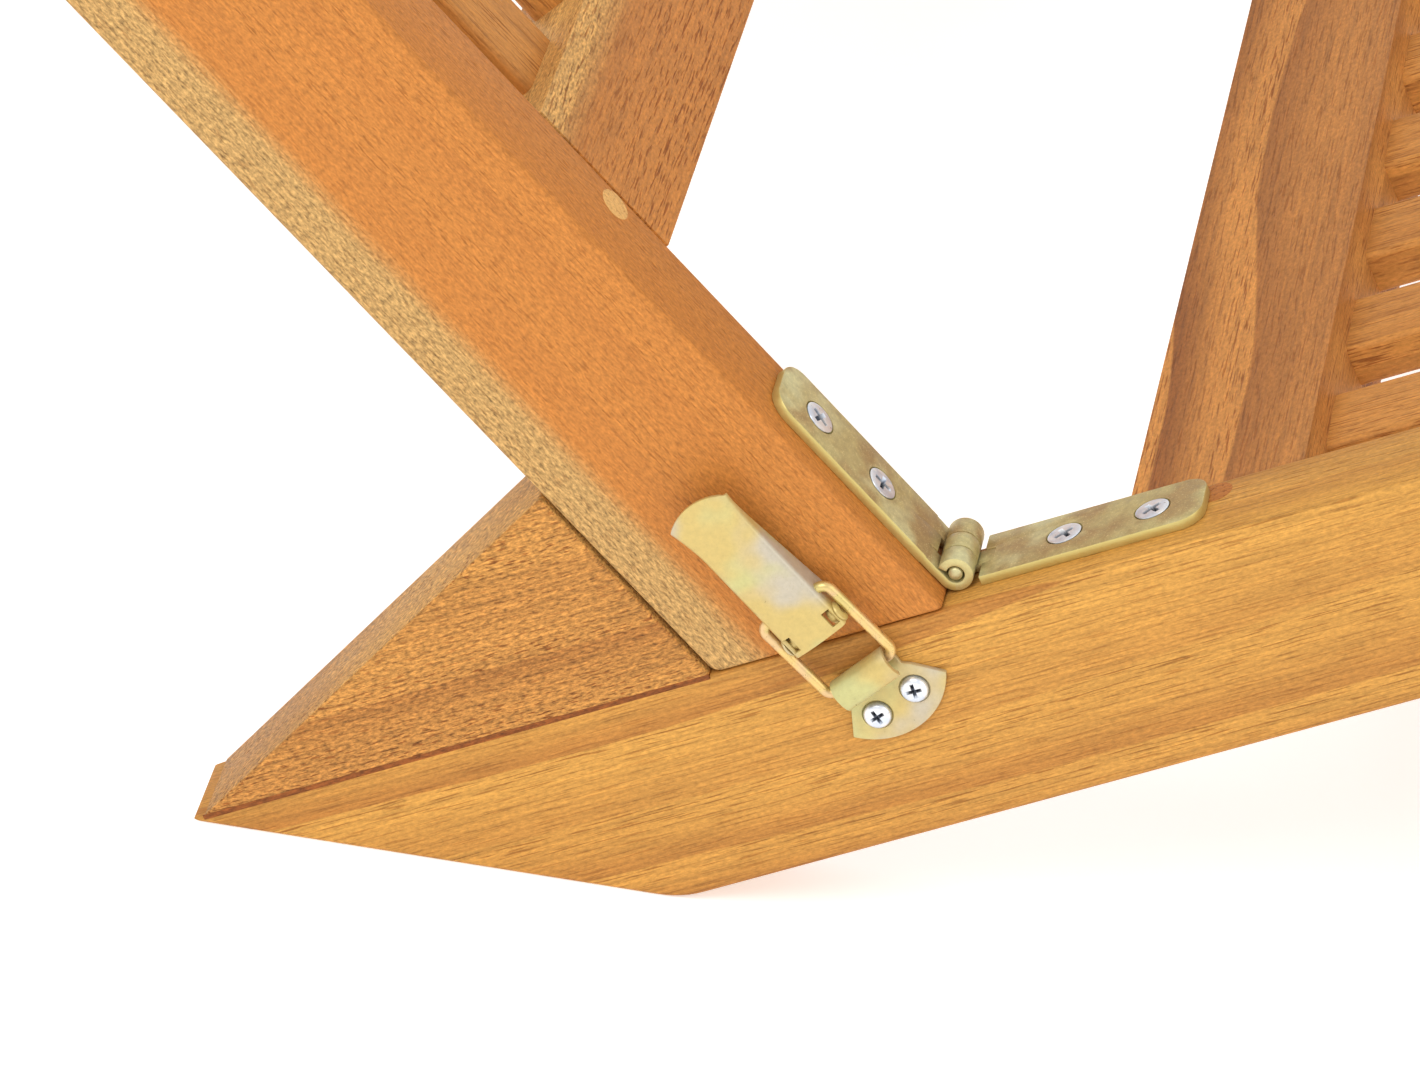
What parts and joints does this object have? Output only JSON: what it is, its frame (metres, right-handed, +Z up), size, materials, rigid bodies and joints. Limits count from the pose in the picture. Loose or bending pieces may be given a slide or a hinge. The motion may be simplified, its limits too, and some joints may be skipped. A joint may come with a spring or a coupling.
{
  "type": "folding chair",
  "caption": "Low armless slatted wooden lounge chair; the reclined backrest hinges flat onto the seat, toggle latches lock it open, and a front leg frame folds under.",
  "frame": {"origin": "centre of the chair's footprint box, on the floor", "axes": "+Z up, -Y forward out of the front of the seat, +X to the left of a person sitting in it"},
  "size_m": [0.5676, 0.9968, 0.5694],
  "materials": {
    "teak": "satin",
    "teak_dark": "satin",
    "dowel_wood": "matte",
    "hinge_plate": "satin",
    "latch_plate": "satin",
    "latch_wire": "gloss",
    "screw_steel": "gloss"
  },
  "bodies": {
    "seat_frame": {"rail_right": "teak", "rail_left": "teak", "heel_wedge_right": "teak_dark", "heel_wedge_left": "teak_dark", "seat_rear_cross_rail": "teak_dark", "seat_front_cross_rail": "teak_dark", "seat_dowels": "dowel_wood", "hinge_leaf_seat_right": "hinge_plate", "hinge_leaf_seat_left": "hinge_plate", "hinge_pins": "hinge_plate", "hinge_screws_seat": "screw_steel", "catch_plate_right": "latch_plate", "catch_plate_left": "latch_plate", "catch_screws": "screw_steel", "leg_bolts": "screw_steel", "leg_washers": "screw_steel", "leg_nuts": "screw_steel", "seat_slat_1": "teak", "seat_slat_2": "teak", "seat_slat_3": "teak", "seat_slat_4": "teak", "seat_slat_5": "teak", "seat_slat_6": "teak", "seat_slat_7": "teak", "seat_slat_8": "teak", "seat_slat_9": "teak", "seat_slat_10": "teak", "seat_slat_11": "teak"},
    "backrest": {"stile_right": "teak", "stile_left": "teak", "back_bottom_cross_rail": "teak_dark", "back_top_cross_rail": "teak_dark", "back_dowels": "dowel_wood", "hinge_leaf_back_right": "hinge_plate", "hinge_leaf_back_left": "hinge_plate", "hinge_screws_back": "screw_steel", "latch_base_right": "latch_plate", "latch_base_left": "latch_plate", "latch_base_screws": "screw_steel", "latch_rivets": "latch_plate", "back_slat_1": "teak", "back_slat_2": "teak", "back_slat_3": "teak", "back_slat_4": "teak", "back_slat_5": "teak", "back_slat_6": "teak", "back_slat_7": "teak", "back_slat_8": "teak", "back_slat_9": "teak", "back_slat_10": "teak", "back_slat_11": "teak"},
    "front_legs": {"front_leg_right": "teak", "front_leg_left": "teak", "leg_crossbar": "teak", "leg_dowels": "dowel_wood"},
    "lever_right": {"latch_lever_right": "latch_plate"},
    "lever_left": {"latch_lever_left": "latch_plate"},
    "bail_right": {"latch_bail_right": "latch_wire"},
    "bail_left": {"latch_bail_left": "latch_wire"}
  },
  "joints": [
    {"name": "backrest_fold", "type": "hinge", "parent": "seat_frame", "child": "backrest", "pos_m": [0, -0.0661, 0.08709], "axis": [1, 0, 0], "range_deg": [0, 110]},
    {"name": "front_legs_fold", "type": "hinge", "parent": "seat_frame", "child": "front_legs", "pos_m": [0, -0.4392, 0.23296], "axis": [1, 0, 0], "range_deg": [0, 70.6]},
    {"name": "latch_lever_right_open", "type": "hinge", "parent": "backrest", "child": "lever_right", "pos_m": [-0.28, -0.03878, 0.07594], "axis": [0, -0.6769, 0.7361], "range_deg": [0, 90]},
    {"name": "latch_bail_right_swing", "type": "hinge", "parent": "lever_right", "child": "bail_right", "pos_m": [-0.2802, -0.03363, 0.08068], "axis": [0, -0.6769, 0.7361], "range_deg": [-68.86, 0]},
    {"name": "latch_lever_left_open", "type": "hinge", "parent": "backrest", "child": "lever_left", "pos_m": [0.28, -0.03878, 0.07594], "axis": [0, 0.6769, -0.7361], "range_deg": [0, 90]},
    {"name": "latch_bail_left_swing", "type": "hinge", "parent": "lever_left", "child": "bail_left", "pos_m": [0.2802, -0.03363, 0.08068], "axis": [0, 0.6769, -0.7361], "range_deg": [-68.86, 0]}
  ],
  "couplings": [
    {"joint": "latch_bail_right_swing", "follows": "latch_lever_right_open", "ratio": -0.765},
    {"joint": "latch_bail_left_swing", "follows": "latch_lever_left_open", "ratio": -0.765}
  ]
}
